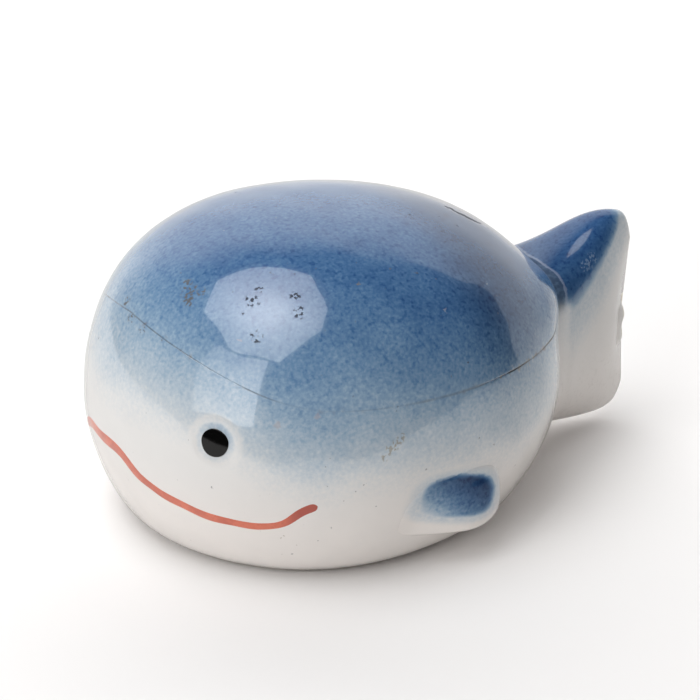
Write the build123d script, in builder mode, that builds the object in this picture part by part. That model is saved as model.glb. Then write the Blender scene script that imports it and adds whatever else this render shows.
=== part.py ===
from build123d import *
from math import atan2, cos, degrees, radians, sin

import os

os.makedirs("parts", exist_ok=True)

# A slip-cast porcelain whale: two hollow halves luted along a seam, a tail and two flippers stuck on,
# and eyes and mouth in overglaze enamel. Nose to +X, left side to +Y, flat base on Z = 0.

# Body, measured from its widest section
nose_length = 31.0
rear_length = 38.5
side_reach = 31.6
crown_height = 28.7
belly_depth = 15.3
wall = 3.0
overrun = 2.0

# Fullness of the body's profile, as shares of its reach and height
crown_fullness_share = 0.677
shoulder_fullness_share = 0.635
belly_drop_share = 0.22
hip_reach_share = 0.92
hip_drop_share = 0.758
foot_reach_share = 0.781
foot_round_share = 0.42
foot_turn_share = 0.18
foot_flat_share = 0.1

# Seam between the halves: level along the flanks and swept up over the nose, as heights above the base
seam_rear_height = 24.0
seam_side_height = 26.9
seam_nose_height = 38.1
seam_bend_x = 8.0
seam_level_share = 0.33
seam_sweep_share = 0.5
seam_sweep_rise_share = 0.22

# Vent hole in the base, through which the slip is poured out and the hollow breathes in the kiln
vent_diameter = 6.5

# Eyes: black enamel discs in shallow moulded dimples
eye_angle = 41.0
eye_height = 21.9
eye_diameter = 3.9
eye_thickness = 0.7
eye_sink = 0.2
dimple_diameter = 7.2
dimple_depth = 0.45

# Mouth: a brush line of red enamel, through places at angles from the nose and heights above the base
mouth_width = 1.05
mouth_proud = 0.06
mouth_inlay = 0.25
mouth_middle_height = 15.8
mouth_angles = (11.0, 18.0, 28.0, 39.0, 50.0, 58.0, 65.5)
mouth_heights = (14.9, 12.8, 11.4, 10.3, 9.9, 10.9, 13.6)
mouth_steps = 32
mouth_end_share = 0.6

# Flippers: low paddles leaning so that their front ends run into the flanks
flipper_rear_x = -15.5
flipper_set_out = 0.5
flipper_root_depth = 11.0
flipper_length = 17.5
flipper_lean = 6.0
flipper_top_front_height = 15.2
flipper_top_rear_height = 13.6
flipper_bottom_front_height = 6.8
flipper_bottom_rear_height = 4.7
flipper_heel_radius = 3.0
flipper_tip_radius = 3.4
flipper_front_radius = 3.0
flipper_edge_radius = 1.8

# Tail: an upright wedge. Its cross-sections run from the root to the tip, with widths as shares of the
# root's half width, and their tops and bottoms drawn in by shares of the tail's height. The shoulder
# and haunch shares say how square each section's upper and lower corners are.
tail_reach = 55.0
tail_root_x = -30.0
tail_root_half_width = 13.7
tail_top_height = 34.0
tail_bottom_height = 1.4
tail_shoulder_share = 0.82
tail_haunch_share = 0.66
tail_place_shares = (0.0, 0.3, 0.524, 0.74, 0.892, 0.968, 1.0)
tail_width_shares = (1.0, 0.745, 0.54, 0.358, 0.186, 0.095, 0.058)
tail_top_shares = (0.156, 0.144, 0.077, 0.006, 0.006, 0.083, 0.184)
tail_bottom_shares = (0.101, 0.049, 0.015, 0.0, 0.012, 0.074, 0.141)
tail_notch_depth = 1.7
tail_notch_height = 17.3
tail_notch_half_span = 12.0

# The part's origin lies on the ground under the middle of its whole length
body_x = (tail_reach - nose_length) / 2
girth = Plane((body_x, 0, belly_depth))
ground = Plane((body_x, 0, 0))
side_view = Plane((body_x, 0, 0), x_dir=(1, 0, 0), z_dir=(0, -1, 0))


def turned_form(reach, crown, depth):
    """Turn the body's half profile about the upright axis through its widest section."""
    hip = Vector(hip_reach_share * reach, -hip_drop_share * depth)
    foot = Vector(foot_reach_share * reach, -depth)
    round_start = foot + (hip - foot) * foot_round_share
    round_turn = foot + (hip - foot) * foot_turn_share
    base_edge = foot - Vector((hip - foot).length * foot_flat_share, 0)
    with BuildPart() as turned:
        with BuildSketch(Plane.XZ):
            with BuildLine():
                Bezier(
                    (0, crown),
                    (crown_fullness_share * reach, crown),
                    (reach, shoulder_fullness_share * crown),
                    (reach, 0),
                )
                Bezier((reach, 0), (reach, -belly_drop_share * depth), hip, round_start)
                Bezier(round_start, round_turn, base_edge)
                Polyline(base_edge, (0, -depth), (0, crown))
            make_face()
        revolve(axis=Axis.Z)
    return turned.part


def egg_form(skin):
    """The body's outer form grown by skin all round, with a short front half and a long rear half."""
    reach = side_reach + skin
    turned = turned_form(reach, crown_height + skin, belly_depth + skin)
    front = scale(split(turned, Plane.YZ, keep=Keep.TOP), by=((nose_length + skin) / reach, 1, 1))
    rear = scale(split(turned, Plane.YZ, keep=Keep.BOTTOM), by=((rear_length + skin) / reach, 1, 1))
    with BuildPart() as egg:
        add(front)
        add(rear)
    return girth * egg.part


def surface_plane(form, angle, height):
    """A plane on a form's surface, its Z axis pointing out, at an angle from the nose and a height."""
    ray = Axis((body_x, 0, height), (cos(radians(angle)), sin(radians(angle)), 0))
    point, normal = form.find_intersection_points(ray)[-1]
    outwards = normal if normal.dot(ray.direction) > 0 else -normal
    return Plane(origin=point, z_dir=outwards)


outer_form = egg_form(0)
inner_form = egg_form(-wall)

# Everything above the seam
seam_rear_x = -rear_length - overrun
seam_front_x = nose_length + overrun
seam_run = seam_front_x - seam_bend_x
seam_rise = seam_nose_height - seam_side_height
seam_slope = (seam_side_height - seam_rear_height) / (seam_bend_x - seam_rear_x)
level_run = seam_level_share * seam_run
seam_sweep_height = seam_side_height + seam_sweep_rise_share * seam_rise
top_height = belly_depth + crown_height + overrun
with BuildPart() as above_seam:
    with BuildSketch(side_view):
        with BuildLine():
            Line((seam_rear_x, seam_rear_height), (seam_bend_x, seam_side_height))
            Bezier(
                (seam_bend_x, seam_side_height),
                (seam_bend_x + level_run, seam_side_height + seam_slope * level_run),
                (seam_bend_x + seam_sweep_share * seam_run, seam_sweep_height),
                (seam_front_x, seam_nose_height),
            )
            Polyline(
                (seam_front_x, seam_nose_height),
                (seam_front_x, top_height),
                (seam_rear_x, top_height),
                (seam_rear_x, seam_rear_height),
            )
        make_face()
    extrude(amount=side_reach + overrun, both=True)

# Upper half of the hollow body
with BuildPart() as upper_shell:
    add(outer_form)
    add(inner_form, mode=Mode.SUBTRACT)
    add(above_seam.part, mode=Mode.INTERSECT)
upper_shell.part.label = "upper_shell"
export_step(upper_shell.part, "parts/upper_shell.step")

# Eyes: each disc sits low in a dimple cut by a wide ball
ball_radius = (dimple_diameter**2 / 4 + dimple_depth**2) / (2 * dimple_depth)
eye_seat = surface_plane(outer_form, eye_angle, eye_height)
with BuildPart() as left_eye:
    with BuildSketch(eye_seat.offset(eye_sink - dimple_depth - eye_thickness)):
        Circle(eye_diameter / 2)
    extrude(amount=eye_thickness)
left_eye.part.label = "left_eye"
export_step(left_eye.part, "parts/left_eye.step")

with BuildPart() as right_eye:
    mirror(left_eye.part, about=Plane.XZ)
right_eye.part.label = "right_eye"
export_step(right_eye.part, "parts/right_eye.step")

with BuildPart() as dimples:
    with Locations(eye_seat.offset(ball_radius - dimple_depth)):
        Sphere(ball_radius)
    mirror(about=Plane.XZ)

# Mouth: thin cross-sections, square to the brush stroke and the body's surface, lofted into one line
half_points = [
    surface_plane(outer_form, angle, height).origin for angle, height in zip(mouth_angles, mouth_heights)
]
middle_point = surface_plane(outer_form, 0, mouth_middle_height).origin
mirrored_points = [Vector(point.X, -point.Y, point.Z) for point in reversed(half_points)]
mouth_path = Spline(*mirrored_points, middle_point, *half_points)
stroke_shares = [index / mouth_steps for index in range(mouth_steps + 1)]
with BuildPart() as mouth_line:
    for share in stroke_shares:
        spot = mouth_path @ share
        angle = degrees(atan2(spot.Y, spot.X - body_x))
        skin = surface_plane(outer_form, angle, spot.Z)
        across = skin.z_dir.cross(mouth_path % share)
        end_distance = min(share, 1 - share) * mouth_path.length
        half_width = mouth_width / 2
        if end_distance < half_width:
            half_width *= mouth_end_share
        with BuildSketch(Plane(origin=skin.origin, x_dir=across, z_dir=across.cross(skin.z_dir))):
            with BuildLine():
                Polyline((-half_width, -mouth_inlay), (half_width, -mouth_inlay), (half_width, 0))
                ThreePointArc((half_width, 0), (0, mouth_proud), (-half_width, 0))
                Line((-half_width, 0), (-half_width, -mouth_inlay))
            make_face()
    loft()
mouth_line.part.label = "mouth_line"
export_step(mouth_line.part, "parts/mouth_line.step")

# Lower half of the hollow body
with BuildPart() as lower_shell:
    add(outer_form)
    add(inner_form, mode=Mode.SUBTRACT)
    add(above_seam.part, mode=Mode.SUBTRACT)
    add(dimples.part, mode=Mode.SUBTRACT)
    add(left_eye.part, mode=Mode.SUBTRACT)
    add(right_eye.part, mode=Mode.SUBTRACT)
    add(mouth_line.part, mode=Mode.SUBTRACT)
    with Locations(ground):
        Cylinder(
            vent_diameter / 2,
            wall + overrun,
            align=(Align.CENTER, Align.CENTER, Align.MIN),
            mode=Mode.SUBTRACT,
        )
lower_shell.part.label = "lower_shell"
export_step(lower_shell.part, "parts/lower_shell.step")

# Flippers: a paddle outline drawn on the flank, rounded on its free edges and cut to the body
lean_cos, lean_sin = cos(radians(flipper_lean)), sin(radians(flipper_lean))
flipper_face = Plane(
    (body_x + flipper_rear_x, side_reach + flipper_set_out, 0),
    x_dir=(lean_cos, -lean_sin, 0),
    z_dir=(-lean_sin, -lean_cos, 0),
)
with BuildPart() as left_flipper:
    with BuildSketch(flipper_face) as paddle_outline:
        with BuildLine():
            Polyline(
                (flipper_length, flipper_bottom_front_height),
                (0, flipper_bottom_rear_height),
                (0, flipper_top_rear_height),
                (flipper_length, flipper_top_front_height),
                close=True,
            )
        make_face()
        tip, heel = paddle_outline.vertices().group_by(Axis.X)[0].sort_by(Axis.Y)
        front_corners = paddle_outline.vertices().group_by(Axis.X)[-1]
        fillet(tip, flipper_tip_radius)
        fillet(heel, flipper_heel_radius)
        fillet(front_corners, flipper_front_radius)
    extrude(amount=flipper_root_depth)
    face_edges = left_flipper.faces().sort_by(Axis((0, 0, 0), (lean_sin, lean_cos, 0)))[-1].edges()
    fillet(face_edges, flipper_edge_radius)
    add(outer_form, mode=Mode.SUBTRACT)
left_flipper.part.label = "left_flipper"
export_step(left_flipper.part, "parts/left_flipper.step")

with BuildPart() as right_flipper:
    mirror(left_flipper.part, about=Plane.XZ)
right_flipper.part.label = "right_flipper"
export_step(right_flipper.part, "parts/right_flipper.step")

# Tail: upright rounded sections, thick at the root and thin at the tip, with a shallow notch behind
tail_run = -tail_reach - tail_root_x
tail_height = tail_top_height - tail_bottom_height
notch_radius = (tail_notch_half_span**2 + tail_notch_depth**2) / (2 * tail_notch_depth)
notch_x = -tail_reach + tail_notch_depth - notch_radius
with BuildPart() as tail:
    for place, width, top_drop, bottom_rise in zip(
        tail_place_shares, tail_width_shares, tail_top_shares, tail_bottom_shares
    ):
        half_width = width * tail_root_half_width
        top = tail_top_height - top_drop * tail_height
        bottom = tail_bottom_height + bottom_rise * tail_height
        middle = (top + bottom) / 2
        top_y = tail_shoulder_share * half_width
        bottom_y = tail_haunch_share * half_width
        shoulder = middle + tail_shoulder_share * (top - bottom) / 2
        haunch = middle - tail_haunch_share * (top - bottom) / 2
        with BuildSketch(Plane.YZ.offset(body_x + tail_root_x + place * tail_run)):
            with BuildLine():
                Bezier((0, top), (top_y, top), (half_width, shoulder), (half_width, middle))
                Bezier((half_width, middle), (half_width, haunch), (bottom_y, bottom), (0, bottom))
                Bezier((0, bottom), (-bottom_y, bottom), (-half_width, haunch), (-half_width, middle))
                Bezier((-half_width, middle), (-half_width, shoulder), (-top_y, top), (0, top))
            make_face()
    loft()
    add(outer_form, mode=Mode.SUBTRACT)
    with Locations((body_x + notch_x, 0, tail_notch_height)):
        Cylinder(
            notch_radius,
            2 * tail_root_half_width,
            rotation=(90, 0, 0),
            mode=Mode.SUBTRACT,
        )
tail.part.label = "tail"
export_step(tail.part, "parts/tail.step")
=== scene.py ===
import bpy
import numpy as np
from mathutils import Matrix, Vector


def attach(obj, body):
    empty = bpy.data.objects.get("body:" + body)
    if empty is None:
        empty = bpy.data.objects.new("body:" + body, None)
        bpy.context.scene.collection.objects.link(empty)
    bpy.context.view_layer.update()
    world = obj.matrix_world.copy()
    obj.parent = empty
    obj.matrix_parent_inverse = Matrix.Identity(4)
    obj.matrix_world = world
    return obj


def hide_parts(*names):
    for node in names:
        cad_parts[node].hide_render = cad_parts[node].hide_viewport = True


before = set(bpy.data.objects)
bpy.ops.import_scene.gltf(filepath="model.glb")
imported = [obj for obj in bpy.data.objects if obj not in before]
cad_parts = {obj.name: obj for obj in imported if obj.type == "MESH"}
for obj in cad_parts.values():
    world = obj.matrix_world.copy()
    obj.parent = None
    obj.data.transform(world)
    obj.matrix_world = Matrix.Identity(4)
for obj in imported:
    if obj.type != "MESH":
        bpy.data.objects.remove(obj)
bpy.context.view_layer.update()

# The studio: a pale table with a near edge, a large octagonal softbox overhead, a tall panel
# in front on the left and a curved backdrop behind. The glaze is a mirror, so these show in it.
MM = 0.001
STUDIO_CENTRE = np.array([12.0, 0.0, 15.3])
CAMERA_AZIMUTH, CAMERA_ELEVATION = 153.0, 26.0
CAMERA_DISTANCE = 357.1
CAMERA_LENS, CAMERA_SENSOR = 128.57, 36.0
CAMERA_SHIFT = (0.0683, 0.0604)
TABLE_NEAR, TABLE_FAR, TABLE_SIDE = 108.0, 420.0, 420.0
SOFTBOX_WAY = (0.335, 0.06, 0.94)
SOFTBOX_DISTANCE, SOFTBOX_HALF_ANGLES = 600.0, (25.6, 34.5)
SOFTBOX_CORNERS = (-8.0, 24.0, 95.0, 144.0, 193.0, 230.0, 272.0, 310.0, 352.0)
SOFTBOX_GLOW, SOFTBOX_FILL = 3.9, 3.4
SOFTBOX_EDGE, SOFTBOX_HEART, SOFTBOX_SPREAD = 0.52, 0.75, 0.58
PANEL_GLOW, PANEL_FILL, PANEL_LEFT_SHARE = 2.6, 4.3, 0.35
PANEL_AZIMUTHS, PANEL_ELEVATIONS = (-60.0, -26.0), (1.5, 40.0)
STUDIO_RADIUS = 900.0
BACKDROP_GLOW, BACKDROP_FILL, BACKDROP_FOOT = 0.79, 2.6, -6.0
BACKDROP_AZIMUTHS = (106.0, 112.0, 120.0, 125.0, 140.0, 180.0, 225.0, 240.0)
BACKDROP_TOPS = (2.0, 13.0, 25.0, 38.0, 51.0, 60.0, 58.0, 50.0)
BACKDROP_DIM_AZIMUTHS, BACKDROP_DIM_SHARE, BACKDROP_FADE = (125.0, 175.0), 0.7, 28.0
BACKDROP_HEM_AZIMUTHS, BACKDROP_HEMS = (135.0, 180.0), (0.03, 0.28)
ROOM_GLOW, ROOM_FILL, ROOM_COLOUR = 0.02, 0.15, (1.0, 0.93, 0.89)
TABLE_SEEN, TABLE_BOUNCE = (0.94, 0.93, 0.925), (0.90, 0.87, 0.85)
TABLE_MIRRORED = (0.64, 0.63, 0.62)
UPWARD = np.array([0.0, 0.0, 1.0])


class Socket:
    """One output of a node. Sums written with it add Math nodes."""

    def __init__(self, recipe, output):
        self.recipe, self.output = recipe, output

    def math(self, operation, *terms):
        return self.recipe.node("ShaderNodeMath", {"operation": operation}, dict(enumerate(terms)))

    def out(self, name):
        return Socket(self.recipe, self.output.node.outputs[name])

    def __add__(self, other):
        return self.math("ADD", self, other)

    def __sub__(self, other):
        return self.math("SUBTRACT", self, other)

    def __rsub__(self, other):
        return self.math("SUBTRACT", other, self)

    def __mul__(self, other):
        return self.math("MULTIPLY", self, other)

    def __truediv__(self, other):
        return self.math("DIVIDE", self, other)

    def __pow__(self, other):
        return self.math("POWER", self, other)

    __radd__, __rmul__ = __add__, __mul__

    def __abs__(self):
        return self.math("ABSOLUTE", self)

    def larger(self, other):
        return self.math("MAXIMUM", self, other)

    def ramp(self, start, end, low=0.0, high=1.0):
        """A smooth step: low before start, high after end."""
        settings = {"interpolation_type": "SMOOTHERSTEP"}
        inputs = {"Value": self, "From Min": start, "From Max": end, "To Min": low, "To Max": high}
        return self.recipe.node("ShaderNodeMapRange", settings, inputs)


class Recipe:
    """The nodes of one material or of the room, written as a recipe."""

    def __init__(self, owner):
        owner.use_nodes = True
        self.tree = owner.node_tree
        self.tree.nodes.clear()

    def node(self, kind, settings=None, inputs=None):
        """A node of a kind: its settings come first, then its sockets' values or links."""
        made = self.tree.nodes.new(kind)
        for name, value in (settings or {}).items():
            if name == "stops":
                ramp = made.color_ramp
                while len(ramp.elements) < len(value):
                    ramp.elements.new(0.5)
                for element, (position, shade) in zip(ramp.elements, value):
                    element.position = position
                    element.color = (shade, shade, shade, 1.0)
            else:
                setattr(made, name, value)
        for name, value in (inputs or {}).items():
            if isinstance(value, Socket):
                self.tree.links.new(value.output, made.inputs[name])
            else:
                made.inputs[name].default_value = value
        return Socket(self, next(o for o in made.outputs if o.enabled) if made.outputs else None)

    def mix(self, share, first, second):
        """The first colour turned into the second by share."""
        inputs = {0: share, 6: first, 7: second}
        for slot in (6, 7):
            if not isinstance(inputs[slot], Socket):
                inputs[slot] = (*inputs[slot], 1.0)
        return self.node("ShaderNodeMix", {"data_type": "RGBA"}, inputs)

    def vectors(self, operation, *terms):
        """Vector Math on places or colours."""
        return self.node("ShaderNodeVectorMath", {"operation": operation}, dict(enumerate(terms)))

    def noise(self, place, size, detail, offset=0.0):
        """Noise whose features are about size millimetres across, from 0 to 1."""
        moved = self.vectors("ADD", place, (offset, offset, offset)) if offset else place
        inputs = {"Vector": moved, "Scale": 1 / (size * MM), "Detail": detail}
        return self.node("ShaderNodeTexNoise", None, inputs)

    def finish(self, shader, target="ShaderNodeOutputMaterial"):
        self.node(target, None, {"Surface": shader})


def surface(name, rows, closed_round=True, wrapped=False, caps=(False, False)):
    """A mesh from a grid of points, rows x columns x 3, in millimetres.

    Neighbouring points make four-sided faces. Columns close on themselves when closed_round,
    rows when wrapped. A cap closes the first or last row with a fan to its middle point.
    """
    rows = np.asarray(rows, float)
    count, across = rows.shape[:2]
    index = np.arange(count * across).reshape(count, across)
    below = np.vstack([index[1:], index[:1]]) if wrapped else index[1:]
    above = index if wrapped else index[:-1]
    if closed_round:
        quads = np.stack([above, np.roll(above, -1, 1), np.roll(below, -1, 1), below], -1)
    else:
        quads = np.stack([above[:, :-1], above[:, 1:], below[:, 1:], below[:, :-1]], -1)
    quads = quads.reshape(-1, 4)
    points = rows.reshape(-1, 3)
    fans = []
    for row, ring in ((0, index[0][::-1]), (1, index[-1])):
        if caps[row]:
            points = np.vstack([points, points[ring].mean(0)])
            middle = np.full(across, len(points) - 1)
            fans.append(np.stack([middle, ring, np.roll(ring, -1)], -1))
    triangles = np.vstack(fans) if fans else np.zeros((0, 3), int)
    corners = np.concatenate([quads.ravel(), triangles.ravel()])
    starts = np.concatenate([np.arange(len(quads)) * 4, len(quads) * 4 + np.arange(len(triangles)) * 3])
    mesh = bpy.data.meshes.new(name)
    mesh.vertices.add(len(points))
    mesh.vertices.foreach_set("co", (points * MM).ravel())
    mesh.loops.add(len(corners))
    mesh.loops.foreach_set("vertex_index", corners.astype(np.int32))
    mesh.polygons.add(len(starts))
    mesh.polygons.foreach_set("loop_start", starts.astype(np.int32))
    mesh.update(calc_edges=True)
    mesh.polygons.foreach_set("use_smooth", np.ones(len(starts), bool))
    mesh.validate()
    made = bpy.data.objects.new(name, mesh)
    bpy.context.scene.collection.objects.link(made)
    return made


def studio_way(azimuth, elevation):
    """Unit vectors by azimuth from the camera's side, positive to image right, and elevation."""
    camera_side = np.radians(CAMERA_AZIMUTH)
    towards = np.array([np.sin(camera_side), -np.cos(camera_side), 0.0])
    right = np.array([np.cos(camera_side), np.sin(camera_side), 0.0])
    turn, lift = np.radians(azimuth)[..., None], np.radians(elevation)[..., None]
    flat = np.cos(turn) * towards + np.sin(turn) * right
    return np.cos(lift) * flat + np.sin(lift) * UPWARD


def glowing(name, rows, glow, fill, shares):
    """A stage sheet that lights the object and shows in its glaze, but not to the camera.

    glow is how bright it looks in the glaze and fill how bright it is as a lamp; shares
    are the parts of them that each point of the grid has.
    """
    sheet = surface(name, rows, closed_round=False)
    material = bpy.data.materials.new(name)
    recipe = Recipe(material)
    path = recipe.node("ShaderNodeLightPath")
    strength = path.out("Is Glossy Ray") * (glow - fill) + fill
    attribute = sheet.data.attributes.new("share", "FLOAT", "POINT")
    attribute.data.foreach_set("value", shares.ravel())
    strength = strength * recipe.node("ShaderNodeAttribute", {"attribute_name": "share"}).out("Fac")
    recipe.finish(recipe.node("ShaderNodeEmission", None, {"Strength": strength}))
    sheet.data.materials.append(material)
    sheet.visible_camera = False
    sheet.visible_shadow = False


def softbox():
    """A flat eight-sided sheet, facing the object, as rows that shrink to its middle.

    Its glow is an even share plus a bell curve of the distance from the middle.
    """
    way = np.array(SOFTBOX_WAY) / np.linalg.norm(SOFTBOX_WAY)
    side = studio_way(90.0, 0.0)
    up = np.cross(side, way)
    up /= np.linalg.norm(up)
    side = np.cross(way, up)
    turns = np.radians(SOFTBOX_CORNERS)
    across, deep = SOFTBOX_DISTANCE * np.tan(np.radians(SOFTBOX_HALF_ANGLES))
    ring = np.cos(turns)[:, None] * side * across + np.sin(turns)[:, None] * up * deep
    reach = np.linspace(1, 0.001, 13)
    glow = SOFTBOX_EDGE + SOFTBOX_HEART * np.exp(-((reach / SOFTBOX_SPREAD) ** 2))
    rows = STUDIO_CENTRE + way * SOFTBOX_DISTANCE + reach[:, None, None] * ring[None]
    return rows, np.repeat(glow[:, None], len(turns), 1)


softbox_rows, softbox_shares = softbox()
glowing("softbox", softbox_rows, SOFTBOX_GLOW, SOFTBOX_FILL, softbox_shares)

panel_azimuth, panel_elevation = np.meshgrid(
    np.linspace(*PANEL_AZIMUTHS, 9), np.linspace(*PANEL_ELEVATIONS, 7)
)
panel_rows = STUDIO_CENTRE + studio_way(panel_azimuth, panel_elevation) * STUDIO_RADIUS
panel_shares = np.interp(panel_azimuth, PANEL_AZIMUTHS, (PANEL_LEFT_SHARE, 1.0))
glowing("panel", panel_rows, PANEL_GLOW, PANEL_FILL, panel_shares)

# The backdrop dims to the right, fades out at its left end and softens along its upper hem
drop_azimuth, drop_share = np.meshgrid(
    np.linspace(BACKDROP_AZIMUTHS[0], BACKDROP_AZIMUTHS[-1], 68), np.linspace(0, 1, 24)
)
drop_top = np.interp(drop_azimuth, BACKDROP_AZIMUTHS, BACKDROP_TOPS)
drop_elevation = BACKDROP_FOOT + (drop_top - BACKDROP_FOOT) * drop_share
drop_rows = STUDIO_CENTRE + studio_way(drop_azimuth, drop_elevation) * STUDIO_RADIUS
drop_shares = np.clip((BACKDROP_AZIMUTHS[-1] - drop_azimuth) / BACKDROP_FADE, 0, 1)
drop_shares = drop_shares * np.interp(drop_azimuth, BACKDROP_DIM_AZIMUTHS, (BACKDROP_DIM_SHARE, 1.0))
drop_hem = np.interp(drop_azimuth, BACKDROP_HEM_AZIMUTHS, BACKDROP_HEMS)
drop_shares = drop_shares * np.clip((1 - drop_share) / drop_hem, 0, 1)
glowing("backdrop", drop_rows, BACKDROP_GLOW, BACKDROP_FILL, drop_shares)

# Table: a painted board, white to the eye and greyer in the glaze, which keeps the object's
# shadow. The room round it is white to the camera and nearly dark in the glaze.
table_towards, table_right = studio_way(0.0, 0.0), studio_way(90.0, 0.0)
table_depth, table_width = np.meshgrid(
    np.linspace(TABLE_NEAR, -TABLE_FAR, 3), np.linspace(-TABLE_SIDE, TABLE_SIDE, 3), indexing="ij"
)
table_rows = table_depth[..., None] * table_towards + table_width[..., None] * table_right
table_rows = table_rows + STUDIO_CENTRE * (1.0, 1.0, 0.0)
table = surface("table", table_rows, closed_round=False)
table_paint = bpy.data.materials.new("table_white")
recipe = Recipe(table_paint)
path = recipe.node("ShaderNodeLightPath")
table_colour = recipe.mix(path.out("Is Glossy Ray"), TABLE_BOUNCE, TABLE_MIRRORED)
table_colour = recipe.mix(path.out("Is Camera Ray"), table_colour, TABLE_SEEN)
recipe.finish(recipe.node("ShaderNodeBsdfDiffuse", None, {"Color": table_colour}))
table.data.materials.append(table_paint)

room = bpy.data.worlds.new("room")
bpy.context.scene.world = room
recipe = Recipe(room)
path = recipe.node("ShaderNodeLightPath")
room_seen = path.out("Is Camera Ray").larger(path.out("Is Transmission Ray"))
room_glow = path.out("Is Glossy Ray") * (ROOM_GLOW - ROOM_FILL) + ROOM_FILL
room_colour = recipe.mix(room_seen, ROOM_COLOUR, (1.0, 1.0, 1.0))
room_light = {"Color": room_colour, "Strength": room_seen + (1 - room_seen) * room_glow}
recipe.finish(recipe.node("ShaderNodeBackground", None, room_light), "ShaderNodeOutputWorld")

# The camera stands at the photograph's angle, above the object and on its left front side
camera = bpy.data.objects.new("camera", bpy.data.cameras.new("camera"))
bpy.context.scene.collection.objects.link(camera)
bpy.context.scene.camera = camera
camera_way = Vector(studio_way(0.0, CAMERA_ELEVATION))
camera.location = (Vector(STUDIO_CENTRE) + camera_way * CAMERA_DISTANCE) * MM
camera.rotation_euler = (-camera_way).to_track_quat("-Z", "Y").to_euler()
camera.data.lens, camera.data.sensor_width = CAMERA_LENS, CAMERA_SENSOR
camera.data.shift_x, camera.data.shift_y = CAMERA_SHIFT
camera.data.clip_start, camera.data.clip_end = 0.01, 10.0
bpy.context.scene.view_settings.view_transform = "Standard"

# Upper shell: the blue top half of the slip-cast egg body, open below and luted to the lower
# half along the seam, which shows as a hairline. The airbrushed blue lies under a clear glaze.
BODY_X, GIRTH_HEIGHT = 12.0, 15.3
NOSE_LENGTH, REAR_LENGTH, SIDE_REACH, CROWN, BELLY = 31.0, 38.5, 31.6, 28.7, 15.3
WALL, HALVES_BLEND = 3.0, 0.25
CROWN_FLAT, CROWN_SIDE, BELLY_SIDE = 0.677, 0.635, 0.22
HIP_REACH, HIP_DEPTH, FOOT_REACH = 0.92, 0.758, 0.781
FOOT_START, FOOT_TURN, FOOT_EDGE = 0.42, 0.18, 0.1
CURVE_STEPS = (500, 300, 120)
PROFILE_STEP, PROFILE_SOFTEN, SOFTEN_CLEAR, SOFTEN_RUN = 0.05, 1.5, 1.0, 4.0
SEAM_REAR, SEAM_BACK, SEAM_BEND = (-40.5, 24.1), (-22.0, 25.5), (8.0, 26.8)
SEAM_LEVEL, SEAM_SWEEP, SEAM_NOSE = (16.25, 27.2), (20.5, 29.1), (33.0, 37.9)
SEAM_RISE, SEAM_RISE_SIDES = 1.2, (18.0, 12.0)
SEAM_SLOPE, SEAM_SLOPE_SIDE, SEAM_SLOPE_START, SEAM_SLOPE_RUN = 0.12, 14.0, 30.0, 5.0
SEAM_DEPTH, SEAM_WIDTH, SEAM_GAP, SEAM_FAR, ROOT_SIDE = 0.08, 0.08, 0.01, 9.0, 11.2
SWELL, SWELL_HEIGHT, SWELL_TALL, SWELL_SIDE, SWELL_WIDE = 1.7, 28.0, 4.2, 9.0, 7.5
SWELL_START, SWELL_RUN, SWELL_WAY = -4.0, 14.0, (-0.8, 0.045, 0.4)
HAND_WOBBLE = 0.035
ROUND_COLUMNS, UPPER_ROWS, LOWER_ROWS, INNER_ROWS = 440, 124, 110, 26


def drawn_curve(corners, steps):
    """A smooth curve drawn towards its corner points, from the first one to the last.

    For each share of the way, neighbouring points are blended by it until one is left.
    """
    points = np.asarray(corners, float)[:, None]
    share = np.linspace(0, 1, steps)[:, None]
    while len(points) > 1:
        points = points[:-1] * (1 - share) + points[1:] * share
    return points[0]


def eased(share):
    """A share kept from 0 to 1 and levelled at both ends: three squares less two cubes of it."""
    share = np.clip(share, 0, 1)
    return share * share * (3 - 2 * share)


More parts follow.
